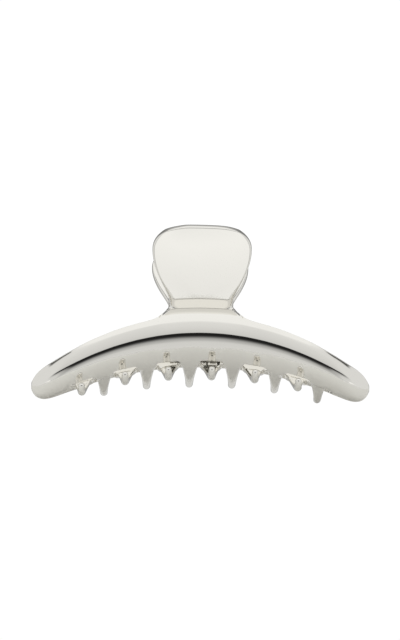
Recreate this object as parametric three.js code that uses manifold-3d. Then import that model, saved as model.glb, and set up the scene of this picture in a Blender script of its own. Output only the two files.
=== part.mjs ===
// Metal claw hair clip: two identical arched jaws on a sprung hinge behind their thumb pads.
// Millimetres. +X runs along the clip, the front jaw is on -Y, +Z points up through the thumb pads.
import * as THREE from 'three';
import { mergeVertices } from 'three/addons/utils/BufferGeometryUtils.js';
import Module from 'manifold-3d';

const wasm = await Module();
wasm.setup();

// Jaw shell
const HALF_LENGTH = 50.3;
const LOBE_START = 45;          // where the lower side of the jaw's round end begins,
const LOBE_TOP_START = 47.3;    // and the upper one
const LOBE_TIP = 0.4;           // height of its furthest point, as a share of the way down the shell
const SHELL_THICKNESS = 1.8;
const SEAM = 0.4;               // half the gap left between the two jaws' ends
const LOBE_END = 0.25;          // height of the round end's last edge, as a share of the shell's there
const SHELL_STEPS = 60;         // facets along the shell, of which LOBE_STEPS are in each round end
const LOBE_STEPS = 5;
const SHELL_ROWS = 9;
const TAPER_LENGTH = 52;        // the jaw thins in depth towards this distance from the middle
const TAPER_POWER = 2.5;
const ARCH_TOP = 24;            // height of the upper edge at the middle, without the neck
const NOTCH_TOP = 10.6;         // height of the top of the notches at the middle
const WEB_FOOT = 8.35;          // height of the lower edge between the notches, at the middle
const ARCH_DROP = 0.007;        // fall of the arch per mm squared from the middle, above the notches
const NOTCH_DROP = 0.0051;
const FOOT_DROP = 4.7;          // fall of the teeth and the lower edge at FOOT_DROP_AT from the middle
const FOOT_DROP_AT = 35.2;
const FOOT_DROP_POWER = 2.35;

// Neck and thumb pad
const NECK_Y = -7.2;
const NECK_HEIGHT = 28.5;
const NECK_HALF_WIDTH = 9.4;
const SHOULDER_X = 19;          // where the neck's flare meets the arch
const FLARE_POWER = 5;
const PAD_LEAN = THREE.MathUtils.degToRad(35.6);
const PAD_LENGTH = 24.6;
const PAD_WIDEST_AT = 16.4;
const PAD_HALF_WIDTH = 14.8;
const PAD_THICKNESS = 2.2;
const PAD_FOOT = 3;             // how far the pad reaches down past the neck, into the shell
const NECK_STRAIGHT = 0.8;      // length of the straight sides below the neck's height
const PAD_TOP_HALF_WIDTH = 5.5; // half width of the straight top of the pad
const PAD_FLARE = [12.5, 5.5];  // curve handle above the neck, as (x, distance up the pad)
const PAD_SWELL = 10;           // height of the handle below the widest place
const PAD_CORNER = [20.4, 10.5];  // round top corner: height of its lower handle, x of its upper one

// Teeth
const TOOTH_COUNT = 6;
const TOOTH_PITCH = 12.8;
const TOOTH_SHIFT = TOOTH_PITCH / 4;   // a quarter pitch, so that the turned jaw's teeth fall in the gaps
const TOOTH_ROOT_HALF_WIDTH = 2.6;
const TOOTH_TIP_RADIUS = 1.2;
const TOOTH_ROOT_HALF_HEIGHT = 0.85;   // a little inside the shell's faces
const TOOTH_ROOT_OVERLAP = 0.02;       // share of the section that a tooth reaches up into the shell
const TOOTH_SLIM_BY = 0.7;      // share of its length over which a tooth narrows
const TOOTH_DOME_FROM = 0.9;    // share of its length where its round end begins
const TOOTH_END_WIDTH = 0.39;   // width left at the very end, as a share of the tip's
const NOTCH_HALF_WIDTH = 4.2;
const NOTCH_FLAT = 2.4;         // half width of the straight top of a notch

// Hinge
const HINGE_HEIGHT = 29;
const PIN_RADIUS = 0.9;
const CLEARANCE = 0.3;
const BORE_RADIUS = PIN_RADIUS + CLEARANCE;
const KNUCKLE_RADIUS = 2.2;
const KNUCKLE_SPANS = [[-8.2, -6], [3.6, 5.7]];   // the front leaf's; the back leaf's are the same, turned
const LEAF_THICKNESS = 0.9;
const LEAF_HALF_WIDTH = 8.2;
const LEAF_LOW = -1.2;          // where the leaf's plate begins and ends, as distances up the pad
const LEAF_TOP = 9;
const WEB_Y = [-4.5, -1.5];     // web between the plate and a knuckle: depth and height ranges
const WEB_Z = [28.6, 29.8];
const SCREW_X = 5.6;
const SCREW_AT = 5.8;           // distance of the screws up the pad from the neck
const SCREW_RADIUS = 0.8;
const SCREW_HEAD_RADIUS = 1.4;
const SCREW_HEAD_THICKNESS = 0.8;
const SLOT_WIDTH = 0.4;
const SLOT_DEPTH = 0.3;
const BLIND_WALL = 0.8;         // metal left in front of a screw's blind hole
const CAP_RADIUS = 1.9;
const CAP_START = 8.5;
const CAP_LENGTH = 1.2;
const CAP_BORE_DEPTH = 0.8;
const PIN_INTO_CAP = 0.5;
const WIRE_RADIUS = 0.4;
const COIL_RADIUS = 1.85;
const COIL_HALF_WIDTH = 2.7;
const COIL_TURNS = 4;
const SPRING_LEG_LENGTH = 11.2;

const plated = { color: 0xd6d5cc, metalness: 1, roughness: 0.08 };
const steel = { color: 0xb9b9b4, metalness: 1, roughness: 0.3 };
const springSteel = { color: 0x8f9092, metalness: 1, roughness: 0.35 };

// ---------- solids ----------

function toSolid(geometry) {
  const bare = geometry.clone();
  bare.deleteAttribute('normal');
  bare.deleteAttribute('uv');
  const merged = mergeVertices(bare.index ? bare.toNonIndexed() : bare, 1e-4);
  return new wasm.Manifold(new wasm.Mesh({
    numProp: 3,
    vertProperties: new Float32Array(merged.attributes.position.array),
    triVerts: new Uint32Array(merged.index.array),
  }));
}

function toGeometry(solid) {
  const mesh = solid.getMesh();
  const geometry = new THREE.BufferGeometry();
  geometry.setAttribute('position', new THREE.BufferAttribute(mesh.vertProperties, 3));
  geometry.setIndex(new THREE.BufferAttribute(mesh.triVerts, 1));
  geometry.computeVertexNormals();
  return geometry;
}

const union = (solids) => solids.reduce((whole, solid) => whole.add(solid));

// Moves every point of a geometry with place(point).
function bend(geometry, place) {
  const position = geometry.attributes.position;
  const point = new THREE.Vector3();
  for (let i = 0; i < position.count; i += 1) {
    place(point.fromBufferAttribute(position, i));
    position.setXYZ(i, point.x, point.y, point.z);
  }
  return geometry;
}

// A cylinder along X, from one x to another.
function rodAlongX(radius, from, to, height = HINGE_HEIGHT, sides = 16) {
  const rod = new THREE.CylinderGeometry(radius, radius, to - from, sides);
  return rod.rotateZ(Math.PI / 2).translate((from + to) / 2, 0, height);
}

// ---------- jaw ----------

// Outside of the shell and its teeth at the middle, as (y, height), from under the pad to the tooth tips.
const section = new THREE.SplineCurve([
  new THREE.Vector2(-4, 26.7),
  new THREE.Vector2(-8.9, 26.45),
  new THREE.Vector2(-9.5, 26.05),
  new THREE.Vector2(-10.7, 24.2),
  new THREE.Vector2(-11.8, 21.4),
  new THREE.Vector2(-11.8, 17.6),
  new THREE.Vector2(-10.2, 13.8),
  new THREE.Vector2(-6.9, NOTCH_TOP),
  new THREE.Vector2(-2.8, WEB_FOOT),
  new THREE.Vector2(2.5, 6),
  new THREE.Vector2(7.5, 4.75),
  new THREE.Vector2(11.2, 5.3),
  new THREE.Vector2(13.2, 7.6),
]);

// Share of the section's length at which it first comes down to a height.
function shareAt(height) {
  let share = 0;
  while (section.getPointAt(share).y > height) share += 0.005;
  return share;
}

const ARCH_SHARE = shareAt(ARCH_TOP);
const NOTCH_SHARE = shareAt(NOTCH_TOP);
const FOOT_SHARE = shareAt(WEB_FOOT);

// Share of the full depth that the jaw keeps at x.
const depthShare = (x) => Math.sqrt(1 - Math.abs(x / TAPER_LENGTH) ** TAPER_POWER);

// How far a point of the section falls at x.
function dropAt(x, share) {
  const { lerp, smoothstep } = THREE.MathUtils;
  const foot = FOOT_DROP * (Math.min(Math.abs(x), LOBE_START) / FOOT_DROP_AT) ** FOOT_DROP_POWER;
  const upper = lerp(0, ARCH_DROP, smoothstep(share, 0, ARCH_SHARE)) * x * x;
  const middle = lerp(upper, NOTCH_DROP * x * x, smoothstep(share, ARCH_SHARE, NOTCH_SHARE));
  return lerp(middle, foot, smoothstep(share, NOTCH_SHARE, FOOT_SHARE));
}

// Point of the jaw at x, at a share of the section's length, some way inside the outer face.
function jawPoint(x, share, inside) {
  const outer = section.getPointAt(share);
  const along = section.getTangentAt(share);
  const depth = depthShare(x);
  const inwards = new THREE.Vector2(-along.y, along.x * depth).normalize();
  const y = outer.x * depth + inwards.x * inside;
  return new THREE.Vector3(x, y, outer.y - dropAt(x, share) + inwards.y * inside);
}

// Upper edge at x: the arch, with the neck's flare near the middle.
function upperShare(x) {
  const flare = (SHOULDER_X - Math.abs(x)) / (SHOULDER_X - NECK_HALF_WIDTH);
  return ARCH_SHARE * (1 - THREE.MathUtils.clamp(flare, 0, 1) ** FLARE_POWER);
}

// Lower edge at x: a notch stands over each tooth of the other jaw.
function lowerShare(x) {
  const toothOffset = x + TOOTH_SHIFT + TOOTH_COUNT / 2 * TOOTH_PITCH;
  const index = THREE.MathUtils.clamp(Math.floor(toothOffset / TOOTH_PITCH), 0, TOOTH_COUNT - 1);
  const away = Math.abs(toothOffset - (index + 0.5) * TOOTH_PITCH);
  const web = THREE.MathUtils.smoothstep(away, NOTCH_FLAT, NOTCH_HALF_WIDTH);
  return THREE.MathUtils.lerp(NOTCH_SHARE, FOOT_SHARE, web);
}

// Share of the shell's height left at x, in a round end that begins at start.
function openAt(x, start) {
  const gone = Math.max(0, Math.abs(x) - start) / (HALF_LENGTH - start);
  return Math.max(LOBE_END, Math.sqrt(1 - Math.min(1, gone ** 2)));
}

function shellSolid() {
  const steps = SHELL_STEPS;
  const lobeSteps = LOBE_STEPS;
  const box = new THREE.BoxGeometry(steps, 1, 1, steps, 1, SHELL_ROWS);
  bend(box, (p) => {
    const straight = steps / 2 - lobeSteps;
    const lobe = Math.max(0, Math.abs(p.x) - straight) / lobeSteps;
    const along = Math.min(1, Math.abs(p.x) / straight) * LOBE_START;
    const x = Math.sign(p.x) * (along + (HALF_LENGTH - LOBE_START) * Math.sin(lobe * Math.PI / 2));
    const share = THREE.MathUtils.lerp(lowerShare(x), upperShare(x), p.z + 0.5);
    const top = jawPoint(x, upperShare(x), 0).z;
    const tip = THREE.MathUtils.lerp(top, jawPoint(x, FOOT_SHARE, 0).z, LOBE_TIP);
    p.copy(jawPoint(x, share, SHELL_THICKNESS * (p.y + 0.5)));
    p.z = tip + (p.z - tip) * openAt(x, p.z > tip ? LOBE_TOP_START : LOBE_START);
    p.y = Math.min(p.y, -SEAM);
  });
  return toSolid(box);
}

// Frame of the thumb pad: x, distance up the pad from the neck, distance inwards from its outer face.
const padUp = new THREE.Vector3(0, -Math.sin(PAD_LEAN), Math.cos(PAD_LEAN));
const padIn = new THREE.Vector3(0, Math.cos(PAD_LEAN), Math.sin(PAD_LEAN));
const neck = new THREE.Vector3(0, NECK_Y, NECK_HEIGHT);
const padFrame = new THREE.Matrix4().makeBasis(new THREE.Vector3(1, 0, 0), padIn, padUp).setPosition(neck);

// Matrix that stands a geometry's local z along the inward direction, at a place on the pad.
function ontoPad(x, up, inwards) {
  const place = new THREE.Vector3(x, inwards, up).applyMatrix4(padFrame);
  const axes = new THREE.Matrix4().makeBasis(new THREE.Vector3(1, 0, 0), padUp.clone().negate(), padIn);
  return axes.setPosition(place);
}

// A cylinder along the pad's inward direction, between two depths.
function rodIntoPad(radius, x, up, from, to, sides = 12) {
  const rod = new THREE.CylinderGeometry(radius, radius, to - from, sides);
  return rod.rotateX(Math.PI / 2).applyMatrix4(ontoPad(x, up, (from + to) / 2));
}

// A plate on the pad between two depths: half width along X, from one distance up the pad to another.
function plateOnPad(halfWidth, low, high, from, to) {
  const plate = new THREE.BoxGeometry(2 * halfWidth, high - low, to - from);
  return plate.applyMatrix4(ontoPad(0, (low + high) / 2, (from + to) / 2));
}

function padSolid() {
  const outline = new THREE.Shape();
  const [flareX, flareUp] = PAD_FLARE;
  const [cornerUp, cornerX] = PAD_CORNER;
  const wide = PAD_HALF_WIDTH;
  const top = PAD_LENGTH;
  outline.moveTo(-NECK_HALF_WIDTH, -PAD_FOOT);
  outline.lineTo(NECK_HALF_WIDTH, -PAD_FOOT);
  outline.lineTo(NECK_HALF_WIDTH, -NECK_STRAIGHT);
  outline.bezierCurveTo(flareX, flareUp, wide, PAD_SWELL, wide, PAD_WIDEST_AT);
  outline.bezierCurveTo(wide, cornerUp, cornerX, top, PAD_TOP_HALF_WIDTH, top);
  outline.lineTo(-PAD_TOP_HALF_WIDTH, top);
  outline.bezierCurveTo(-cornerX, top, -wide, cornerUp, -wide, PAD_WIDEST_AT);
  outline.bezierCurveTo(-wide, PAD_SWELL, -flareX, flareUp, -NECK_HALF_WIDTH, -NECK_STRAIGHT);
  const pad = new THREE.ExtrudeGeometry(outline, {
    depth: PAD_THICKNESS, bevelEnabled: false, curveSegments: 9,
  });
  const axes = new THREE.Matrix4().makeBasis(new THREE.Vector3(1, 0, 0), padUp, padIn.clone().negate());
  return toSolid(pad.translate(0, 0, -PAD_THICKNESS).applyMatrix4(axes.setPosition(neck)));
}

function toothSolid(x) {
  const horn = new THREE.CylinderGeometry(1, 1, 1, 10, 12);
  const { lerp, smoothstep } = THREE.MathUtils;
  const root = NOTCH_SHARE - TOOTH_ROOT_OVERLAP;
  bend(horn, (p) => {
    const gone = p.y + 0.5;
    const slim = smoothstep(gone, 0, TOOTH_SLIM_BY);
    const round = Math.max(0, (gone - TOOTH_DOME_FROM) / (1 - TOOTH_DOME_FROM));
    const dome = Math.sqrt(1 - (1 - TOOTH_END_WIDTH ** 2) * round ** 2);
    const halfWidth = lerp(TOOTH_ROOT_HALF_WIDTH, TOOTH_TIP_RADIUS, slim) * dome;
    const halfHeight = lerp(TOOTH_ROOT_HALF_HEIGHT, TOOTH_TIP_RADIUS, slim);
    const inside = halfHeight + p.z * halfHeight * dome;
    const place = jawPoint(x, lerp(root, 1, gone), inside);
    p.set(x + p.x * halfWidth, place.y, place.z);
  });
  return toSolid(horn);
}

function jawGeometry() {
  const parts = [shellSolid(), padSolid()];
  for (let i = 0; i < TOOTH_COUNT; i += 1) {
    parts.push(toothSolid((i - (TOOTH_COUNT - 1) / 2) * TOOTH_PITCH + TOOTH_SHIFT));
  }
  let jaw = union(parts);
  for (const x of [-SCREW_X, SCREW_X]) {
    const hole = rodIntoPad(SCREW_RADIUS + CLEARANCE, x, SCREW_AT, BLIND_WALL, PAD_THICKNESS + 1);
    jaw = jaw.subtract(toSolid(hole));
  }
  return toGeometry(jaw);
}

// ---------- hinge ----------

const LEAF_OUTSIDE = PAD_THICKNESS + CLEARANCE;
const LEAF_INSIDE = LEAF_OUTSIDE + LEAF_THICKNESS;

function leafGeometry() {
  const parts = [toSolid(plateOnPad(LEAF_HALF_WIDTH, LEAF_LOW, LEAF_TOP, LEAF_OUTSIDE, LEAF_INSIDE))];
  for (const [from, to] of KNUCKLE_SPANS) {
    const web = new THREE.BoxGeometry(to - from, WEB_Y[1] - WEB_Y[0], WEB_Z[1] - WEB_Z[0]);
    parts.push(toSolid(web.translate((from + to) / 2, (WEB_Y[0] + WEB_Y[1]) / 2, (WEB_Z[0] + WEB_Z[1]) / 2)));
    parts.push(toSolid(rodAlongX(KNUCKLE_RADIUS, from, to)));
  }
  let leaf = union(parts);
  leaf = leaf.subtract(toSolid(rodAlongX(BORE_RADIUS, -LEAF_HALF_WIDTH - 1, LEAF_HALF_WIDTH + 1)));
  for (const x of [-SCREW_X, SCREW_X]) {
    const hole = rodIntoPad(SCREW_RADIUS + CLEARANCE, x, SCREW_AT, LEAF_OUTSIDE - 1, LEAF_INSIDE + 1);
    leaf = leaf.subtract(toSolid(hole));
  }
  return toGeometry(leaf);
}

function screwGeometry(x) {
  const underHead = LEAF_INSIDE + CLEARANCE;
  const shank = rodIntoPad(SCREW_RADIUS, x, SCREW_AT, BLIND_WALL + CLEARANCE, underHead + 0.1);
  const head = rodIntoPad(SCREW_HEAD_RADIUS, x, SCREW_AT, underHead, underHead + SCREW_HEAD_THICKNESS, 16);
  const slot = new THREE.BoxGeometry(SLOT_WIDTH, 3 * SCREW_HEAD_RADIUS, 2 * SLOT_DEPTH);
  slot.applyMatrix4(ontoPad(x, SCREW_AT, underHead + SCREW_HEAD_THICKNESS));
  return toGeometry(toSolid(shank).add(toSolid(head)).subtract(toSolid(slot)));
}

function capGeometry() {
  const cap = toSolid(rodAlongX(CAP_RADIUS, CAP_START, CAP_START + CAP_LENGTH, HINGE_HEIGHT, 20));
  return toGeometry(cap.subtract(toSolid(rodAlongX(BORE_RADIUS, CAP_START - 1, CAP_START + CAP_BORE_DEPTH))));
}

// Route of the torsion spring's wire: up along one pad, round the pin, and up along the other pad.
class SpringRoute extends THREE.Curve {
  constructor() {
    super();
    this.start = Math.PI + PAD_LEAN;                            // where the front leg leaves the coil
    this.sweep = Math.PI - 2 * PAD_LEAN + COIL_TURNS * 2 * Math.PI;
    this.coil = this.sweep * COIL_RADIUS;
    this.leg = SPRING_LEG_LENGTH;
    this.total = this.coil + 2 * this.leg;
  }

  // A point on the coil's circle, moved along the tangent there.
  at(angle, x, beyond) {
    const y = COIL_RADIUS * Math.cos(angle) - beyond * Math.sin(angle);
    const z = HINGE_HEIGHT + COIL_RADIUS * Math.sin(angle) + beyond * Math.cos(angle);
    return new THREE.Vector3(x, y, z);
  }

  getPoint(t) {
    const gone = t * this.total - this.leg;
    if (gone < 0) return this.at(this.start, -COIL_HALF_WIDTH, gone);
    if (gone > this.coil) return this.at(this.start + this.sweep, COIL_HALF_WIDTH, gone - this.coil);
    const share = gone / this.coil;
    return this.at(this.start + share * this.sweep, COIL_HALF_WIDTH * (2 * share - 1), 0);
  }
}

function springGeometry() {
  const section = new THREE.Shape();
  for (let i = 0; i < 6; i += 1) {
    const angle = i * Math.PI / 3;
    section[i ? 'lineTo' : 'moveTo'](WIRE_RADIUS * Math.cos(angle), WIRE_RADIUS * Math.sin(angle));
  }
  return new THREE.ExtrudeGeometry(section, { steps: 88, extrudePath: new SpringRoute() });
}

// ---------- assembly ----------

function piece(name, geometry, look) {
  const mesh = new THREE.Mesh(geometry, new THREE.MeshStandardMaterial(look));
  mesh.name = name;
  return mesh;
}

// One jaw with its hinge leaf and screws, as the front side.
function half(side, left, right) {
  const group = new THREE.Group();
  group.add(piece(`${side}_jaw`, jawGeometry(), plated));
  group.add(piece(`${side}_hinge_leaf`, leafGeometry(), steel));
  group.add(piece(`${side}_leaf_screw_${left}`, screwGeometry(-SCREW_X), steel));
  group.add(piece(`${side}_leaf_screw_${right}`, screwGeometry(SCREW_X), steel));
  return group;
}

const clip = new THREE.Group();
clip.add(half('front', 'left', 'right'));
const back = half('back', 'right', 'left');
back.rotation.z = Math.PI;
clip.add(back);

const PIN_HALF_LENGTH = CAP_START + PIN_INTO_CAP;
clip.add(piece('hinge_pin', rodAlongX(PIN_RADIUS, -PIN_HALF_LENGTH, PIN_HALF_LENGTH), steel));
clip.add(piece('pin_cap_right', capGeometry(), steel));
const leftCap = piece('pin_cap_left', capGeometry(), steel);
leftCap.rotation.z = Math.PI;
clip.add(leftCap);
clip.add(piece('torsion_spring', springGeometry(), springSteel));

export default clip;
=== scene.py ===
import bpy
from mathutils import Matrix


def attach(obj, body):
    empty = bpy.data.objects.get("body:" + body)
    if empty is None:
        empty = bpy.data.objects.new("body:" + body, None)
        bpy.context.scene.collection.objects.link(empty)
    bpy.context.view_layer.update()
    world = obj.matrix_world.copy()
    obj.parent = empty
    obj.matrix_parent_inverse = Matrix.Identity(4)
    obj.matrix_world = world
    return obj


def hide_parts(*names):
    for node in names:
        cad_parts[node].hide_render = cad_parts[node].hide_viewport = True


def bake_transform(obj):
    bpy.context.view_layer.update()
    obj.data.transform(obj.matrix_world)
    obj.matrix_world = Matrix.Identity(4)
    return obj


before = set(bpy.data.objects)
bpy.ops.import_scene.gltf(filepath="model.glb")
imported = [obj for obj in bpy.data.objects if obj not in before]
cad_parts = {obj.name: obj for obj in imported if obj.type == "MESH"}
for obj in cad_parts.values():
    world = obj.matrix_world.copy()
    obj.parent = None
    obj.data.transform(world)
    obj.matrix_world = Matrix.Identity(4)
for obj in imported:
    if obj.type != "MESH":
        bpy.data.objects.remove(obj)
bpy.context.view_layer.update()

import math

import bmesh
import bpy
import numpy as np
from mathutils import Matrix, Vector


# ---------------------------------------------------------------------------------------------
# Front and back jaw. Each is one zinc-alloy casting with its thumb pad and six hooked teeth,
# polished and plated to a mirror. Both are the same casting, one of them turned half round.
# ---------------------------------------------------------------------------------------------

# Sizes are in millimetres. The front jaw is on -Y, the hinge runs along X, and Z points up through
# the pads. A share is a distance along the section, from 0 under the pad to 1 at the teeth's tips.
MM = 0.001
HALF_TURN = Matrix.Rotation(math.pi, 4, "Z")
HALF_LENGTH = 50.3
LOBE_START = 45             # where the lower side of the jaw's round end begins,
LOBE_TOP_START = 47.3       # and the upper one
LOBE_TIP = 0.4              # height of its furthest point, as a share of the way down the shell
LOBE_END = 0.2              # height left at the very end, as a share of the shell's
SHELL_THICKNESS = 1.8
SEAM = 0.4                  # half the gap between the two jaws' ends
TAPER_LENGTH = 52           # the jaw thins in depth towards this distance from the middle
TAPER_POWER = 2.5
ARCH_TOP = 24               # height of the upper edge at the middle, without the neck,
NOTCH_TOP = 10.6            # of the top of the notches,
WEB_FOOT = 8.35             # and of the lower edge between the notches
ARCH_DROP = 0.007           # fall of the arch per mm squared from the middle,
NOTCH_DROP = 0.0051         # and of the notches
FOOT_DROP = 4.7             # fall of the teeth and the lower edge this far from the middle
FOOT_DROP_AT = 35.2
FOOT_DROP_POWER = 2.35
NECK_Y = -7.2
NECK_HEIGHT = 28.5
NECK_HALF_WIDTH = 9.4
NECK_REACH = NECK_HALF_WIDTH + 0.3      # the pad grows from the columns of the shell within this
SHOULDER_X = 19             # where the neck's flare meets the arch
FLARE_POWER = 5
TOOTH_COUNT = 6
TOOTH_PITCH = 12.8
TOOTH_SHIFT = TOOTH_PITCH / 4           # so that the turned jaw's teeth fall in the notches
TOOTH_RADIUS = 1.2
PAD_LEAN = math.radians(35.6)
PAD_LENGTH = 24.6
PAD_WIDEST_AT = 16.4
PAD_HALF_WIDTH = 14.8
PAD_THICKNESS = 2.2
PAD_SWELL_POWER = 1.15
PAD_CORNER = 2.5            # squareness of the round top of the pad
PAD_CROWN = 0.3             # height of the pad's gentle crown
UNDER_NECK = -2.2           # where the pad meets the shell, as a distance up the pad

# Outside of the shell and its teeth in the middle of the clip, from under the pad to the tooth tips.
SECTION = [(-4, 26.7), (-8.9, 26.45), (-9.5, 26.05), (-10.7, 24.2), (-11.8, 21.4), (-11.8, 17.6),
           (-10.2, 13.8), (-6.9, NOTCH_TOP), (-2.8, WEB_FOOT), (2.5, 6), (7.5, 4.75), (11.2, 5.3),
           (13.2, 7.6)]


def smooth_line(points, steps=60):
    """A uniform Catmull-Rom curve through the points, and its length so far at each of its own."""
    points = np.array(points, float)
    line = []
    for i in range(len(points) - 1):
        picked = [points[min(max(k, 0), len(points) - 1)] for k in range(i - 1, i + 3)]
        before, start, end, after = picked
        t = np.linspace(0, 1, steps, endpoint=False)[:, None]
        leave, arrive = (end - before) / 2, (after - start) / 2
        line.append((2 * start - 2 * end + leave + arrive) * t ** 3
                    + (3 * end - 3 * start - 2 * leave - arrive) * t ** 2 + leave * t + start)
    line = np.vstack([*line, points[-1:]])
    length = np.concatenate([[0], np.cumsum(np.linalg.norm(np.diff(line, axis=0), axis=1))])
    return line, length / length[-1]


section_line, section_share = smooth_line(SECTION)


def section_at(share):
    return np.array([np.interp(share, section_share, section_line[:, k]) for k in (0, 1)])


def share_at(height):
    return float(section_share[np.argmax(section_line[:, 1] <= height)])


ARCH_SHARE = share_at(ARCH_TOP)
NOTCH_SHARE = share_at(NOTCH_TOP)
FOOT_SHARE = share_at(WEB_FOOT)
ROOT_SHARE = 0.572          # where the sides of a tooth turn into the sides of a notch
END_SHARE = 0.615           # the lower edge between the last tooth and the round end
CREASE_SHARE = 0.041        # where the pad stands on the shell
SHARE_STEP = 0.004          # how far to either side the section's direction is measured


def eased(value, low, high):
    t = min(max((value - low) / (high - low), 0), 1)
    return t * t * (3 - 2 * t)


def between(a, b, t):
    return a + (b - a) * t


def drop_at(x, share):
    """How far a point of the section falls at x."""
    foot = FOOT_DROP * (min(abs(x), LOBE_START) / FOOT_DROP_AT) ** FOOT_DROP_POWER
    upper = ARCH_DROP * x * x * eased(share, 0, ARCH_SHARE)
    middle = between(upper, NOTCH_DROP * x * x, eased(share, ARCH_SHARE, NOTCH_SHARE))
    return between(middle, foot, eased(share, NOTCH_SHARE, FOOT_SHARE))


def jaw_point(x, share, inside, across=0.0):
    """A point of the jaw at x and a share of the section, some way inside its outer face."""
    depth = math.sqrt(1 - abs(x / TAPER_LENGTH) ** TAPER_POWER)
    outer = section_at(share)
    along = section_at(min(share + SHARE_STEP, 1)) - section_at(max(share - SHARE_STEP, 0))
    inwards = np.array([-along[1], along[0] * depth])
    inwards /= np.linalg.norm(inwards)
    y = outer[0] * depth + inwards[0] * inside
    return Vector((x + across, y, outer[1] - drop_at(x, share) + inwards[1] * inside))


def upper_share(x):
    """The upper edge: the arch, with the neck's flare near the middle."""
    flare = (SHOULDER_X - abs(x)) / (SHOULDER_X - NECK_HALF_WIDTH)
    return between(CREASE_SHARE, ARCH_SHARE, 1 - min(max(flare, 0), 1) ** FLARE_POWER)


def shell_point(x, share, inside):
    """jaw_point, closed in towards its tip in the round end of the jaw."""
    tip = between(jaw_point(x, upper_share(x), 0).z, jaw_point(x, FOOT_SHARE, 0).z, LOBE_TIP)
    point = jaw_point(x, share, inside)
    start = LOBE_TOP_START if point.z > tip else LOBE_START
    gone = max(0, abs(x) - start) / (HALF_LENGTH - start)
    point.z = tip + (point.z - tip) * max(LOBE_END, math.sqrt(max(0, 1 - gone * gone)))
    point.y = min(point.y, -SEAM)
    return point


pad_up = Vector((0, -math.sin(PAD_LEAN), math.cos(PAD_LEAN)))
pad_in = Vector((0, math.cos(PAD_LEAN), math.sin(PAD_LEAN)))
neck = Vector((0, NECK_Y, NECK_HEIGHT))


def pad_point(u, up, inside):
    """A point of the thumb pad: u is -1 to 1 across, up is the distance from the neck."""
    swell = math.sin(math.pi / 2 * min(max(up, 0) / PAD_WIDEST_AT, 1) ** PAD_SWELL_POWER)
    x = u * between(NECK_HALF_WIDTH, PAD_HALF_WIDTH, swell)
    crown = PAD_CROWN * math.sin(math.pi * max(up, 0) / PAD_LENGTH) * (1 - u * u)
    if up > PAD_WIDEST_AT:
        top = PAD_LENGTH - PAD_WIDEST_AT
        gone = (up - PAD_WIDEST_AT) / top
        x = u * PAD_HALF_WIDTH * (1 - gone ** PAD_CORNER / 2) ** (1 / PAD_CORNER)
        up = PAD_WIDEST_AT + gone * (1 - abs(u) ** PAD_CORNER / 2) ** (1 / PAD_CORNER) * top
    return neck + Vector((x, 0, 0)) + pad_up * up + pad_in * (inside - crown)


class Sheet:
    """Quads with an outer and an inner point at each corner, closed round the open edges."""

    def __init__(self):
        self.outer = []
        self.inner = []
        self.quads = []

    def corner(self, outer, inner):
        self.outer.append(outer)
        self.inner.append(inner)
        return len(self.outer) - 1

    def strip(self, first, second):
        """The quads between two rows with the same number of corners."""
        for k in range(len(first) - 1):
            self.quads.append((first[k], second[k], second[k + 1], first[k + 1]))

    def mesh(self, name):
        count = len(self.outer)
        faces = self.quads + [tuple(c + count for c in reversed(quad)) for quad in self.quads]
        edges = {(quad[k], quad[(k + 1) % 4]): None for quad in self.quads for k in range(4)}
        faces += [(b, a, a + count, b + count) for a, b in edges if (b, a) not in edges]
        mesh = bpy.data.meshes.new(name)
        mesh.from_pydata([point * MM for point in self.outer + self.inner], [], faces)
        return mesh


LOBE_COLUMNS = (39.6, 41.4, 43.6, 45.8, 47.6, 49.0, 49.9, 50.3)
ROOT_EDGE = 2.6             # half width of a tooth's root
NOTCH_EDGES = (3.05, 3.8)   # how far from a tooth's middle the round corner of a notch begins and ends
FIRST_NOTCH = (-9.75, -9)   # two more columns before the first tooth, where its notch ends
LOBE_LOWEST = 42            # from here on the round end has its full height

# x of each column of the shell, the share of its lower edge, and the tooth it roots, if any.
columns = [(-x, FOOT_SHARE, None) for x in reversed(LOBE_COLUMNS)]
for i in range(TOOTH_COUNT):
    middle = (i - (TOOTH_COUNT - 1) / 2) * TOOTH_PITCH + TOOTH_SHIFT
    across = [(x, NOTCH_SHARE) for x in FIRST_NOTCH] if i == 0 else []
    across += [(x, NOTCH_SHARE) for x in (-TOOTH_PITCH / 2, -NOTCH_EDGES[1], -NOTCH_EDGES[0])]
    across += [(-ROOT_EDGE, ROOT_SHARE), (0, ROOT_SHARE)]
    if i < TOOTH_COUNT - 1:
        across += [(ROOT_EDGE, ROOT_SHARE), (NOTCH_EDGES[0], NOTCH_SHARE), (NOTCH_EDGES[1], NOTCH_SHARE)]
    else:
        across += [(ROOT_EDGE, END_SHARE), (NOTCH_EDGES[1], END_SHARE)]
    columns += [(middle + x, share, i if abs(x) <= ROOT_EDGE else None) for x, share in across]
columns += [(x, END_SHARE if x < LOBE_LOWEST else FOOT_SHARE, None) for x in LOBE_COLUMNS[1:]]

# The rows of the shell. Its upper edge is more softly rounded in a stretch near each end.
BELLY_SHARE = 0.24
ROWS_ABOVE_BELLY = (0.3, 0.36, 0.42, 0.55, 0.75)    # as parts of the way from the upper edge
ROWS_BELOW_BELLY = (0.3, 0.355, 0.41)
RIM_SHARE = 0.006
LOWER_RIM_SHARE = 0.014
SOFT_RIM_SHARE = 0.016
SOFT_RIM_BEGINS = (36, 38)
SOFT_RIM_ENDS = (44, 46)

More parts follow.
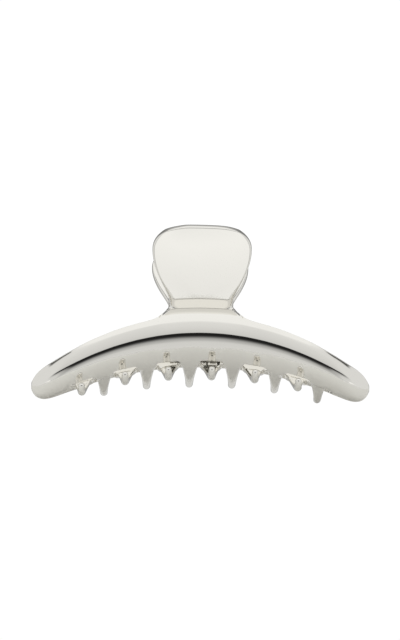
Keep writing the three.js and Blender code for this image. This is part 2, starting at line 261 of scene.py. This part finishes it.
casting = Sheet()
shell = []
for x, lower, _ in columns:
    upper = upper_share(x)
    soft = eased(abs(x), *SOFT_RIM_BEGINS) * (1 - eased(abs(x), *SOFT_RIM_ENDS))
    shares = [upper, upper + (RIM_SHARE + SOFT_RIM_SHARE * soft)]
    shares += [between(upper, BELLY_SHARE, part) for part in ROWS_ABOVE_BELLY]
    shares += [BELLY_SHARE, *ROWS_BELOW_BELLY, between(ROWS_BELOW_BELLY[-1], lower, 0.5)]
    shares += [lower - LOWER_RIM_SHARE, lower]
    column = [casting.corner(shell_point(x, share, 0), shell_point(x, share, SHELL_THICKNESS))
              for share in shares]
    if abs(x) < NECK_REACH:
        casting.inner[column[0]] = pad_point(0, UNDER_NECK, PAD_THICKNESS) + Vector((x, 0, 0))
    shell.append(column)
for left, right in zip(shell, shell[1:]):
    casting.strip(right, left)

# The rows of the pad, up from the neck. Its columns crowd towards the edges higher up.
PAD_ROWS = (UNDER_NECK + 0.25, -0.6, 1.5, 4.5, 7.5, 10.5, 13.5, 16.4, 18.8, 21, 23, 24.3, PAD_LENGTH)
CROWDING = 0.25
CROWDED_ABOVE = 7

necked = [k for k, column in enumerate(columns) if abs(column[0]) < NECK_REACH]
span = max(abs(columns[k][0]) for k in necked)
below = [shell[k][0] for k in necked]
for up in PAD_ROWS:
    row = []
    for k in necked:
        u = columns[k][0] / span
        u = between(u, math.copysign(abs(u) ** CROWDING, u), eased(up, 0, CROWDED_ABOVE))
        row.append(casting.corner(pad_point(u, up, 0), pad_point(u, up, PAD_THICKNESS)))
    casting.strip(below, row)
    below = row

# Rings down a tooth: share of the section, half width, roundness (a strip to a circle), size.
TOOTH_RINGS = ((0.61, 2.25, 0.05, 1), (0.658, 2.0, 0.2, 1), (0.715, 1.7, 0.45, 1), (0.782, 1.35, 0.8, 1),
               (0.848, 1.2, 1, 0.95), (0.905, 1.1, 1, 0.9), (0.953, 1.1, 1, 0.86), (0.981, 1.1, 1, 0.82),
               (0.994, 1, 1, 0.7), (1, 1, 1, 0.42))
CORNER_REACH = 1.2          # the corners stand out this much more, to leave the wanted radius
HEXAGON = (0.5, 0.866)      # up and across of a hexagon's side corners

for i in range(TOOTH_COUNT):
    roots = [k for k, column in enumerate(columns) if column[2] == i]
    middle = columns[roots[1]][0]
    above = [shell[k][-1] for k in roots]
    for share, half_width, roundness, size in TOOTH_RINGS:
        rim = TOOTH_RADIUS * CORNER_REACH * size
        ring = []
        for side in (-1, 0, 1):
            reach = rim * (HEXAGON[0] if side else 1)
            across = side * between(half_width, rim * HEXAGON[1], roundness)
            outer = between(0, TOOTH_RADIUS - reach, roundness)
            inner = between(SHELL_THICKNESS, TOOTH_RADIUS + reach, roundness)
            ring.append(casting.corner(jaw_point(middle, share, outer, across),
                                       jaw_point(middle, share, inner, across)))
        casting.strip(ring, above)
        above = ring


class Term:
    """A socket of a node tree. Arithmetic on it adds the nodes that work it out."""

    def __init__(self, tree, socket=None):
        self.tree = tree
        self.socket = socket

    def add(self, kind, settings, inputs, output=0):
        """Adds a node: its settings first, then its sockets' values or links."""
        node = self.tree.nodes.new(kind)
        for name, setting in settings.items():
            setattr(node, name, setting)
        for name, value in inputs.items():
            if isinstance(value, Term):
                self.tree.links.new(value.socket, node.inputs[name])
            else:
                node.inputs[name].default_value = value
        return Term(self.tree, node.outputs[output]) if node.outputs else None

    def maths(self, operation, *terms):
        return self.add("ShaderNodeMath", {"operation": operation}, dict(enumerate(terms)))

    def __add__(self, other):
        return self.maths("ADD", self, other)

    def __radd__(self, other):
        return self.maths("ADD", other, self)

    def __sub__(self, other):
        return self.maths("SUBTRACT", self, other)

    def __rsub__(self, other):
        return self.maths("SUBTRACT", other, self)

    def __mul__(self, other):
        return self.maths("MULTIPLY", self, other)

    def __rmul__(self, other):
        return self.maths("MULTIPLY", other, self)

    def __truediv__(self, other):
        return self.maths("DIVIDE", self, other)

    def __abs__(self):
        return self.maths("ABSOLUTE", self)

    def mix(self, first, second):
        """Two colours mixed by this term."""
        settings = {"data_type": "RGBA"}
        return self.add("ShaderNodeMix", settings, {0: self, 6: first, 7: second}, output=2)

    def step(self, low, high):
        """0 below low and 1 above high, smooth between them."""
        settings = {"interpolation_type": "SMOOTHSTEP"}
        inputs = {"Value": self, "From Min": low, "From Max": high}
        return self.add("ShaderNodeMapRange", settings, inputs)


def new_material(name):
    """A material, a term to build its nodes with, and its main shader's sockets."""
    material = bpy.data.materials.new(name)
    material.use_nodes = True
    return material, Term(material.node_tree), material.node_tree.nodes["Principled BSDF"].inputs


def join(term, socket):
    term.tree.links.new(term.socket, socket)


def bump(height, strength, distance):
    """A normal bent by a height; the distance is in metres."""
    return height.add("ShaderNodeBump", {}, {"Strength": strength, "Distance": distance, "Height": height})


# Bright plating over a hand-polished casting: nearly a perfect mirror, with a very slight waviness
# from the polishing wheel and patches that are a touch less bright.
DULL_PLATING = (0.89, 0.875, 0.835, 1)
BRIGHT_PLATING = (0.92, 0.905, 0.865, 1)

mirror, nodes, shader = new_material("mirror_plating")
place = nodes.add("ShaderNodeTexCoord", {}, {}, output="Object")
patches = nodes.add("ShaderNodeTexNoise", {}, {"Vector": place, "Scale": 60.0, "Detail": 3.0})
waves = nodes.add("ShaderNodeTexNoise", {}, {"Vector": place, "Scale": 140.0, "Detail": 1.0})
join(patches.mix(DULL_PLATING, BRIGHT_PLATING), shader["Base Color"])
join(0.03 + 0.03 * patches, shader["Roughness"])
join(bump(waves, 0.05, 0.0001), shader["Normal"])
shader["Metallic"].default_value = 1


def smooth_object(mesh, level=0):
    """An object with smooth faces that all look outwards, and its subdivision if it has one."""
    shape = bmesh.new()
    shape.from_mesh(mesh)
    bmesh.ops.recalc_face_normals(shape, faces=shape.faces)
    for face in shape.faces:
        face.smooth = True
    shape.to_mesh(mesh)
    shape.free()
    thing = bpy.data.objects.new(mesh.name, mesh)
    bpy.context.scene.collection.objects.link(thing)
    if level:
        smoother = thing.modifiers.new("rounding", "SUBSURF")
        smoother.levels = level
        smoother.render_levels = level
    return thing


ROUNDING_LEVEL = 3

front_mesh = casting.mesh("front_casting")
back_mesh = front_mesh.copy()
back_mesh.name = "back_casting"
back_mesh.transform(HALF_TURN)
for side, mesh in (("front", front_mesh), ("back", back_mesh)):
    jaw = smooth_object(mesh, ROUNDING_LEVEL)
    jaw.data.materials.append(mirror)
    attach(jaw, side)
    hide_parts(side + "_jaw")


# ---------------------------------------------------------------------------------------------
# Hinge leaves. Two stamped steel plates screwed to the inside of the pads; two tongues of each
# are rolled round the hinge pin. Satin nickel, brushed along the clip before it was rolled.
# ---------------------------------------------------------------------------------------------

HINGE = Vector((0, 0, 29))
LEAF_OUTSIDE = 2.5          # depth of the leaf's outer face behind the pad's
LEAF_THICKNESS = 0.9
LEAF_HALF_WIDTH = 8.2
LEAF_LOW = -1.2             # the plate's lower and upper edges, as distances up the pad
LEAF_TOP = 9
LEAF_CORNER = 1.8
KNUCKLE_SPANS = ((-8.2, -6.0), (3.6, 5.7))
KNUCKLE_CENTRE_RADIUS = 1.7
SCREW_X = 5.6
SCREW_AT = 5.8              # distance of the screws up the pad
SCREW_HOLE_RADIUS = 1.1
TONGUE_SETBACK = 0.02       # the tongues start just clear of the plate's lower edge,
TONGUE_STEP = (0.75, 0.05)  # step inwards and up by this,
ROLL_ANGLES = (152, -150)   # and are rolled round the pin between these angles
EDGE_ROUND = 0.12
SHARP_ANGLE = math.radians(50)
DULL_NICKEL = (0.62, 0.61, 0.58, 1)
BRIGHT_NICKEL = (0.74, 0.73, 0.7, 1)
BRUSHING = (150, 4000, 4000)    # the brush marks per metre, long in X

satin, nodes, shader = new_material("brushed_hinge_steel")
place = nodes.add("ShaderNodeTexCoord", {}, {}, output="Object")
along = nodes.add("ShaderNodeVectorMath", {"operation": "MULTIPLY"}, {0: place, 1: BRUSHING})
brush = nodes.add("ShaderNodeTexNoise", {}, {"Vector": along, "Scale": 1.0, "Detail": 4.0})
wear = nodes.add("ShaderNodeTexNoise", {}, {"Vector": place, "Scale": 300.0, "Detail": 2.0})
join(wear.mix(DULL_NICKEL, BRIGHT_NICKEL), shader["Base Color"])
join(0.2 + 0.14 * brush + 0.06 * wear, shader["Roughness"])
join(bump(brush, 0.2, 0.00002), shader["Normal"])
shader["Metallic"].default_value = 1


def on_pad(x, up, depth):
    """A point behind the flat of the thumb pad, at x, a distance up it and a depth from its face."""
    return neck + Vector((x, 0, 0)) + pad_up * up + pad_in * depth


def turn_points(middle, radius, first, last, steps):
    """Points on an arc between two angles in degrees, as (across, up) pairs."""
    angles = np.linspace(math.radians(first), math.radians(last), steps)
    return [(middle[0] + radius * math.cos(a), middle[1] + radius * math.sin(a)) for a in angles]


def leaf_mesh(name):
    """A front leaf: its plate with two screw holes, and the two tongues rolled into knuckles."""
    shape = bmesh.new()
    corner = LEAF_HALF_WIDTH - LEAF_CORNER
    outline = [(-LEAF_HALF_WIDTH, LEAF_LOW), (LEAF_HALF_WIDTH, LEAF_LOW)]
    outline += turn_points((corner, LEAF_TOP - LEAF_CORNER), LEAF_CORNER, 0, 90, 10)
    outline += turn_points((-corner, LEAF_TOP - LEAF_CORNER), LEAF_CORNER, 90, 180, 10)
    loops = [outline]
    loops += [turn_points((x, SCREW_AT), SCREW_HOLE_RADIUS, 0, 345, 24) for x in (-SCREW_X, SCREW_X)]
    for loop in loops:
        corners = [shape.verts.new(on_pad(x, up, LEAF_OUTSIDE)) for x, up in loop]
        for k, vertex in enumerate(corners):
            shape.edges.new((vertex, corners[k - 1]))
    bmesh.ops.triangle_fill(shape, edges=shape.edges[:], use_beauty=True, normal=-pad_in)
    grown = bmesh.ops.extrude_face_region(shape, geom=shape.faces[:])["geom"]
    grown = [v for v in grown if isinstance(v, bmesh.types.BMVert)]
    bmesh.ops.translate(shape, vec=pad_in * LEAF_THICKNESS, verts=grown)

    # A tongue leaves the plate's lower edge, rises over the pin and is rolled round it.
    start = on_pad(0, LEAF_LOW - TONGUE_SETBACK, LEAF_OUTSIDE + LEAF_THICKNESS / 2)
    route = [(start.y, start.z), (start.y + TONGUE_STEP[0], start.z + TONGUE_STEP[1])]
    route += turn_points((HINGE.y, HINGE.z), KNUCKLE_CENTRE_RADIUS, *ROLL_ANGLES, 36)
    route, _ = smooth_line(route, steps=2)
    half = LEAF_THICKNESS / 2
    for low, high in KNUCKLE_SPANS:
        rings = []
        for k, (y, z) in enumerate(route):
            before, after = route[max(k - 1, 0)], route[min(k + 1, len(route) - 1)]
            along = Vector((0, after[0] - before[0], after[1] - before[1])).normalized()
            out = Vector((0, -along.z, along.y)) * half
            middle = Vector((0, y, z))
            rings.append([shape.verts.new(middle + out * side + Vector((x, 0, 0)))
                          for side, x in ((1, low), (1, high), (-1, high), (-1, low))])
        for first, second in zip(rings, rings[1:]):
            for k in range(4):
                shape.faces.new((first[k], first[(k + 1) % 4], second[(k + 1) % 4], second[k]))
        shape.faces.new(rings[0])
        shape.faces.new(rings[-1])
    bmesh.ops.recalc_face_normals(shape, faces=shape.faces)
    sharp = [e for e in shape.edges if len(e.link_faces) == 2 and e.calc_face_angle() > SHARP_ANGLE]
    bmesh.ops.bevel(shape, geom=sharp, offset=EDGE_ROUND, segments=3, profile=0.5, affect="EDGES")
    bmesh.ops.scale(shape, vec=(MM, MM, MM), verts=shape.verts)
    mesh = bpy.data.meshes.new(name)
    shape.to_mesh(mesh)
    shape.free()
    return mesh


for side in ("front", "back"):
    mesh = leaf_mesh(side + "_leaf")
    if side == "back":
        mesh.transform(HALF_TURN)
    leaf = smooth_object(mesh)
    leaf.data.materials.append(satin)
    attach(leaf, side)
    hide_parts(side + "_hinge_leaf")


# ---------------------------------------------------------------------------------------------
# Leaf screws. Four small slotted pan-head screws of turned steel, nickel plated, that run through
# the leaves into blind holes in the pads.
# ---------------------------------------------------------------------------------------------

SCREW_RADIUS = 0.8
SCREW_HEAD_RADIUS = 1.4
SCREW_HEAD_DOME = 0.25
SCREW_DOME_STEPS = (0.85, 0.7, 0.5, 0.3, 0.15)      # radii of the dome's rings, as shares
SCREW_DEPTHS = (1.1, 3.7, 4.5)      # tip, under the head, top of the head
SCREW_POINT = (0.2, 0.25)   # length and depth of the chamfer at the tip
SLOT_HALF_WIDTH = 0.2
SLOT_DEPTH = 0.3
THREAD_PITCH = 0.4
THREAD_DEPTH = 0.08
THREAD_START = 0.3          # distance of the first crest from the tip
THREAD_END = 0.5            # bare length under the head
HEAD_ROUND = 0.04           # step of the small chamfers round the head
HEAD_EDGE = 0.12            # how far in from the head's side the dome begins


def turned_mesh(name, profile, steps=48):
    """A turned piece on the X axis, from (along, radius) pairs; it starts and ends on the axis."""
    shape = bmesh.new()
    angles = np.linspace(0, 2 * math.pi, steps, endpoint=False)
    rings = []
    for along, radius in profile:
        if radius:
            ring = [shape.verts.new((along, radius * math.cos(a), radius * math.sin(a))) for a in angles]
        else:
            ring = [shape.verts.new((along, 0, 0))] * steps
        rings.append(ring)
    for first, second in zip(rings, rings[1:]):
        for k in range(steps):
            corners = [first[k], first[(k + 1) % steps], second[(k + 1) % steps], second[k]]
            shape.faces.new(list(dict.fromkeys(corners)))
    mesh = bpy.data.meshes.new(name)
    shape.to_mesh(mesh)
    shape.free()
    return mesh


def screw_profile():
    """(along, radius) pairs from the screw's tip, over its thread, to the top of its head."""
    tip, under, top = SCREW_DEPTHS
    length, depth = SCREW_POINT
    profile = [(tip, 0), (tip, SCREW_RADIUS - depth), (tip + length, SCREW_RADIUS - 0.02)]
    crests = int((under - THREAD_END - tip - THREAD_START) / THREAD_PITCH)
    for k in range(crests):
        at = tip + THREAD_START + k * THREAD_PITCH
        profile += [(at, SCREW_RADIUS), (at + THREAD_PITCH / 2, SCREW_RADIUS - THREAD_DEPTH)]
    edge = SCREW_HEAD_RADIUS
    profile += [(under - 0.4, SCREW_RADIUS), (under, SCREW_RADIUS)]
    profile += [(under, edge - 0.1), (under + 2 * HEAD_ROUND, edge)]
    rim = top - SCREW_HEAD_DOME
    dome = rim + 0.05
    profile += [(rim - 0.06, edge), (rim, edge - HEAD_ROUND), (dome, edge - HEAD_EDGE)]
    for share in SCREW_DOME_STEPS:
        profile.append((between(top, dome, share * share), (edge - HEAD_EDGE) * share))
    return profile + [(top, 0)]


def cut_slot(mesh):
    """A screwdriver slot across the domed end of a turned head."""
    shape = bmesh.new()
    shape.from_mesh(mesh)
    for side in (-1, 1):
        parts = shape.verts[:] + shape.edges[:] + shape.faces[:]
        wall = (0, side * SLOT_HALF_WIDTH, 0)
        bmesh.ops.bisect_plane(shape, geom=parts, plane_co=wall, plane_no=(0, 1, 0))
    rim = SCREW_DEPTHS[2] - SCREW_HEAD_DOME
    top = [f for f in shape.faces
           if f.calc_center_median().x > rim and abs(f.calc_center_median().y) < SLOT_HALF_WIDTH]
    grown = bmesh.ops.extrude_face_region(shape, geom=top)["geom"]
    bmesh.ops.delete(shape, geom=top, context="FACES")
    for vertex in (v for v in grown if isinstance(v, bmesh.types.BMVert)):
        vertex.co.x = SCREW_DEPTHS[2] - SLOT_DEPTH
    shape.to_mesh(mesh)
    shape.free()


for side, left, right in (("front", "left", "right"), ("back", "right", "left")):
    for x, end in ((-SCREW_X, left), (SCREW_X, right)):
        mesh = turned_mesh(side + "_screw_" + end, screw_profile())
        cut_slot(mesh)
        along_x = Vector((1, 0, 0))
        axes = Matrix((pad_in, along_x, pad_in.cross(along_x))).transposed().to_4x4()
        mesh.transform(Matrix.Translation(on_pad(x, SCREW_AT, 0)) @ axes)
        mesh.transform(Matrix.Scale(MM, 4))
        if side == "back":
            mesh.transform(HALF_TURN)
        mesh.set_sharp_from_angle(angle=math.radians(40))
        screw = smooth_object(mesh)
        screw.data.materials.append(satin)
        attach(screw, side)
        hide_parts(side + "_leaf_screw_" + end)


# ---------------------------------------------------------------------------------------------
# Hinge pin. A straight drawn steel rod through all four knuckles, its ends chamfered.
# ---------------------------------------------------------------------------------------------

PIN_RADIUS = 0.9
PIN_HALF_LENGTH = 9
PIN_CHAMFER = 0.15
PIN_END = 1                 # a ring this far from each end keeps the chamfer crisp

half = PIN_HALF_LENGTH
chamfered = PIN_RADIUS - PIN_CHAMFER
profile = [(-half, 0), (-half, chamfered), (PIN_CHAMFER - half, PIN_RADIUS), (PIN_END - half, PIN_RADIUS)]
profile += [(-along, radius) for along, radius in reversed(profile)]
mesh = turned_mesh("pin_rod", profile)
mesh.transform(Matrix.Translation(HINGE * MM) @ Matrix.Scale(MM, 4))
mesh.set_sharp_from_angle(angle=math.radians(30))
pin = smooth_object(mesh)
pin.data.materials.append(satin)
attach(pin, "front")
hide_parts("hinge_pin")


# ---------------------------------------------------------------------------------------------
# Pin caps. Two little turned steel buttons pressed over the pin's ends to keep it in.
# ---------------------------------------------------------------------------------------------

CAP_START = 8.5
CAP_LENGTH = 1.2
CAP_RADIUS = 1.9
CAP_BORE_RADIUS = 1.2
CAP_BORE_END = 9.3
CAP_ROUND = 0.4
CAP_CHAMFER = 0.1

for side, end in ((1, "right"), (-1, "left")):
    far = CAP_START + CAP_LENGTH
    profile = [(CAP_BORE_END, 0), (CAP_BORE_END, CAP_BORE_RADIUS), (CAP_START, CAP_BORE_RADIUS),
               (CAP_START, CAP_RADIUS - CAP_CHAMFER), (CAP_START + CAP_CHAMFER, CAP_RADIUS)]
    centre = (far - CAP_ROUND, CAP_RADIUS - CAP_ROUND)
    profile += turn_points(centre, CAP_ROUND, 90, 0, 6)
    profile.append((far, 0))
    mesh = turned_mesh("cap_" + end, profile)
    mesh.transform(Matrix.Translation(HINGE * MM) @ Matrix.Scale(MM, 4))
    if side < 0:
        mesh.transform(HALF_TURN)
    mesh.set_sharp_from_angle(angle=math.radians(50))
    cap = smooth_object(mesh)
    cap.data.materials.append(satin)
    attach(cap, "front")
    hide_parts("pin_cap_" + end)


# ---------------------------------------------------------------------------------------------
# Torsion spring. Bare hard-drawn spring wire wound four and a bit turns round the pin, with a
# straight leg that bears on the inside of each pad; its ends are cut and dressed.
# ---------------------------------------------------------------------------------------------

WIRE_RADIUS = 0.4
COIL_RADIUS = 1.85
COIL_HALF_WIDTH = 2.7
COIL_TURNS = 4
LEG_LENGTH = 11.2
WIRE_SIDES = 14
LEG_STEPS = 8
COIL_STEPS = 144
CUT_LENGTH = 0.1            # the dressed ends: their length and how much they narrow
CUT_DEPTH = 0.12
DARK_WIRE = (0.4, 0.39, 0.38, 1)
PALE_WIRE = (0.52, 0.5, 0.47, 1)

wire_steel, nodes, shader = new_material("spring_wire")
place = nodes.add("ShaderNodeTexCoord", {}, {}, output="Object")
drawn = nodes.add("ShaderNodeTexNoise", {}, {"Vector": place, "Scale": 900.0, "Detail": 3.0})
heat = nodes.add("ShaderNodeTexNoise", {}, {"Vector": place, "Scale": 120.0, "Detail": 1.0})
join(heat.mix(DARK_WIRE, PALE_WIRE), shader["Base Color"])
join(0.18 + 0.14 * drawn, shader["Roughness"])
join(bump(drawn, 0.12, 0.00002), shader["Normal"])
shader["Metallic"].default_value = 1

first_angle = math.pi + PAD_LEAN
sweep = math.pi - 2 * PAD_LEAN + COIL_TURNS * 2 * math.pi


def spring_point(share, beyond):
    """A point of the coil at a share of its sweep, moved along the tangent there."""
    angle = first_angle + share * sweep
    y = COIL_RADIUS * math.cos(angle) - beyond * math.sin(angle)
    z = COIL_RADIUS * math.sin(angle) + beyond * math.cos(angle)
    return HINGE + Vector((COIL_HALF_WIDTH * (2 * share - 1), y, z))


route = [spring_point(0, -LEG_LENGTH * (1 - k / LEG_STEPS)) for k in range(LEG_STEPS)]
route += [spring_point(k / COIL_STEPS, 0) for k in range(COIL_STEPS + 1)]
route += [spring_point(1, LEG_LENGTH * (k + 1) / LEG_STEPS) for k in range(LEG_STEPS)]
angles = [2 * math.pi * n / WIRE_SIDES for n in range(WIRE_SIDES)]
shape = bmesh.new()
rings = []
for k, middle in enumerate(route):
    along = (route[min(k + 1, len(route) - 1)] - route[max(k - 1, 0)]).normalized()
    out = (along.cross(Vector((1, 0, 0)))).normalized()
    over = along.cross(out)
    radii = [(0, WIRE_RADIUS)]
    if k == 0:
        radii = [(-CUT_LENGTH, WIRE_RADIUS - CUT_DEPTH), (0, WIRE_RADIUS)]
    if k == len(route) - 1:
        radii = [(0, WIRE_RADIUS), (CUT_LENGTH, WIRE_RADIUS - CUT_DEPTH)]
    for shift, radius in radii:
        round_it = [out * math.cos(a) + over * math.sin(a) for a in angles]
        rings.append([shape.verts.new(middle + along * shift + way * radius) for way in round_it])
for first, second in zip(rings, rings[1:]):
    for k in range(WIRE_SIDES):
        shape.faces.new((first[k], first[(k + 1) % WIRE_SIDES], second[(k + 1) % WIRE_SIDES], second[k]))
shape.faces.new(rings[0])
shape.faces.new(rings[-1])
bmesh.ops.scale(shape, vec=(MM, MM, MM), verts=shape.verts)
mesh = bpy.data.meshes.new("spring_coil")
shape.to_mesh(mesh)
shape.free()
mesh.set_sharp_from_angle(angle=math.radians(60))
spring = smooth_object(mesh)
spring.data.materials.append(wire_steel)
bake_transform(spring)
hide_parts("torsion_spring")


# ---------------------------------------------------------------------------------------------
# Studio. A white floor and a bright tent with one dark gap in front, where the camera looks in. To
# show the clip leaning back, the camera looks up at it and the floor slopes with the camera.
# ---------------------------------------------------------------------------------------------

LEAN = math.radians(9)              # how far the camera looks up at the clip
FLOOR_LEAN = math.radians(10.5)
FLOOR_HALF = 2.0
FLOOR_LEVEL = -0.0016               # just under the lowest teeth, with the slope
NEAR_FLOOR = (-0.0262, -0.0235)     # the clip mirrors the floor only behind this soft edge
FAR_FLOOR = (0.005, 0.012)          # and in front of this one
FLOOR_GLOSS = 0.08
FLOOR_GLOW = 1.09
FLOOR_GRAY = (0.86, 0.86, 0.84, 1)
WHITE = (1, 1, 1, 1)
WARM_WHITE = (1, 1, 0.985, 1)

half = FLOOR_HALF
corners = [(-half, -half, 0), (half, -half, 0), (half, half, 0), (-half, half, 0)]
floor_mesh = bpy.data.meshes.new("studio_floor")
floor_mesh.from_pydata(corners, [], [(0, 1, 2, 3)])
floor_mesh.transform(Matrix.Translation((0, 0, FLOOR_LEVEL)) @ Matrix.Rotation(FLOOR_LEAN, 4, "X"))
floor = bpy.data.objects.new("studio_floor", floor_mesh)
bpy.context.scene.collection.objects.link(floor)

white_floor = bpy.data.materials.new("white_floor")
white_floor.use_nodes = True
white_floor.node_tree.nodes.clear()
nodes = Term(white_floor.node_tree)
place = nodes.add("ShaderNodeTexCoord", {}, {}, output="Object")
across = nodes.add("ShaderNodeSeparateXYZ", {}, {0: place}, output="Y")
near = across.step(*NEAR_FLOOR) * (1 - across.step(*FAR_FLOOR))
matt = nodes.add("ShaderNodeBsdfDiffuse", {}, {"Color": FLOOR_GRAY})
lit = nodes.add("ShaderNodeEmission", {}, {"Color": WARM_WHITE, "Strength": 0.07})
soft = nodes.add("ShaderNodeAddShader", {}, {0: matt, 1: lit})
clear = nodes.add("ShaderNodeBsdfTransparent", {}, {})
mirrored = nodes.add("ShaderNodeMixShader", {}, {0: near, 1: clear, 2: soft})
glow = nodes.add("ShaderNodeEmission", {}, {"Color": WHITE, "Strength": FLOOR_GLOW})
gloss = nodes.add("ShaderNodeBsdfAnisotropic", {}, {"Roughness": 0.08})
seen = nodes.add("ShaderNodeMixShader", {}, {0: FLOOR_GLOSS, 1: glow, 2: gloss})
straight = nodes.add("ShaderNodeLightPath", {}, {}, output="Is Camera Ray")
shown = nodes.add("ShaderNodeMixShader", {}, {0: straight, 1: mirrored, 2: seen})
nodes.add("ShaderNodeOutputMaterial", {}, {"Surface": shown})
floor.data.materials.append(white_floor)

# Brightness of the tent by the angle above the camera's level: in front, and behind the clip.
TENT = [(-90, 0.5), (-78, 0.58), (-60, 0.84), (-55, 0.89), (-49, 0.97), (-47.5, 0.9), (-45, 0.7),
        (-27, 0.68), (-23.5, 0.63), (-20.5, 0.54), (-17.5, 0.48), (-14, 0.41), (-11, 0.28), (-8, 0.14),
        (-4.5, 0.03), (-1, 0.014), (6.2, 0.014), (7.2, 0.63), (21, 0.71), (30, 0.75), (42, 0.78),
        (47, 0.84), (50, 0.93), (73, 0.94), (90, 0.95)]
TENT_BACK = [(-90, 0.6), (-50, 0.66), (-25, 0.66), (-8, 0.5), (0, 0.35), (35, 0.2), (50, 0.4),
             (64, 0.9), (90, 0.95)]
TENT_SIDE = (0.75, 0.75, 0.74, 1)
TENT_TINT = 0.985                   # blue, as a share of the red and the green
BACKDROP_GLOW = 1.05
GAP_EDGE = 6.7                      # upper edge of the dark gap, in degrees
GAP_THINS = (0.25, 0.65)            # the gap thins towards its edge between these sideways directions,
GAP_NARROWS = 3.0                   # by this much,
GAP_SIDES = (0.52, 0.66)            # and closes between these
BACK_FROM = (0.4, 0.7)              # backwards directions between which TENT turns into TENT_BACK
POLE_SIDES = ((0.61, 0.64), (0.76, 0.8))    # a dark pole of the tent stands off to either side, between
POLE_DEPTHS = ((-0.35, -0.28), (0, 0.1))    # these soft edges sideways and backwards,
POLE_FOOT = (0, 0.1)                        # above this one
POLE_COLOUR = (0.08, 0.08, 0.075, 1)

world = bpy.data.worlds.new("studio_tent")
world.use_nodes = True
world.node_tree.nodes.clear()
nodes = Term(world.node_tree)
place = nodes.add("ShaderNodeTexCoord", {}, {}, output="Generated")
settings = {"rotation_type": "X_AXIS"}
level = nodes.add("ShaderNodeVectorRotate", settings, {"Vector": place, "Angle": -LEAN})
sideways = abs(nodes.add("ShaderNodeSeparateXYZ", {}, {0: level}, output="X"))
backwards = nodes.add("ShaderNodeSeparateXYZ", {}, {0: level}, output="Y")
upwards = nodes.add("ShaderNodeSeparateXYZ", {}, {0: level}, output="Z")
angle = upwards.maths("ARCSINE", upwards) / math.pi + 0.5
under_edge = angle.maths("MAXIMUM", GAP_EDGE / 180 + 0.5 - angle, 0)
under = angle - GAP_NARROWS * sideways.step(*GAP_THINS) * under_edge


def by_angle(angle, levels):
    """A pale colour that follows a list of (degrees, brightness)."""
    ramp = nodes.add("ShaderNodeValToRGB", {}, {0: angle})
    stops = ramp.socket.node.color_ramp.elements
    while len(stops) < len(levels):
        stops.new(1)
    for stop, (degrees, _) in zip(stops, levels):
        stop.position = degrees / 180 + 0.5
    for stop, (_, brightness) in zip(stops, levels):
        stop.color = (brightness, brightness, brightness * TENT_TINT, 1)
    return ramp


tent = sideways.step(*GAP_SIDES).mix(by_angle(under, TENT), TENT_SIDE)
tent = backwards.step(*BACK_FROM).mix(tent, by_angle(angle, TENT_BACK))
poles = sideways.step(*POLE_SIDES[0]) * (1 - sideways.step(*POLE_SIDES[1]))
poles = poles * backwards.step(*POLE_DEPTHS[0]) * (1 - backwards.step(*POLE_DEPTHS[1]))
tent = (poles * upwards.step(*POLE_FOOT)).mix(tent, POLE_COLOUR)
around = nodes.add("ShaderNodeBackground", {}, {"Color": tent})
white = nodes.add("ShaderNodeBackground", {}, {"Color": WHITE, "Strength": BACKDROP_GLOW})
straight = nodes.add("ShaderNodeLightPath", {}, {}, output="Is Camera Ray")
shown = nodes.add("ShaderNodeMixShader", {}, {0: straight, 1: around, 2: white})
nodes.add("ShaderNodeOutputWorld", {}, {"Surface": shown})
bpy.context.scene.world = world
bpy.context.scene.view_settings.view_transform = "Standard"


# ---------------------------------------------------------------------------------------------
# Camera. A long lens a metre away, a degree to the clip's left and looking up at it a little.
# ---------------------------------------------------------------------------------------------

DISTANCE = 1.0
SENSOR = 36                         # millimetres, along the longer side of the frame
VIEW_HEIGHT = 0.1905                # what the frame takes in at that distance
AIM = Vector((-0.0003, -0.005, 0.02336))
AZIMUTH = math.radians(-1)
ROLL = math.radians(0.4)

across = math.cos(LEAN)
towards = Vector((math.sin(AZIMUTH) * across, -math.cos(AZIMUTH) * across, -math.sin(LEAN)))
lens = bpy.data.cameras.new("camera")
lens.sensor_width = SENSOR
lens.lens = lens.sensor_width * DISTANCE / VIEW_HEIGHT
camera = bpy.data.objects.new("camera", lens)
bpy.context.scene.collection.objects.link(camera)
camera.location = AIM + towards * DISTANCE
look = (-towards).to_track_quat("-Z", "Y").to_matrix().to_4x4()
camera.rotation_euler = (look @ Matrix.Rotation(ROLL, 4, "Z")).to_euler()
bpy.context.scene.camera = camera
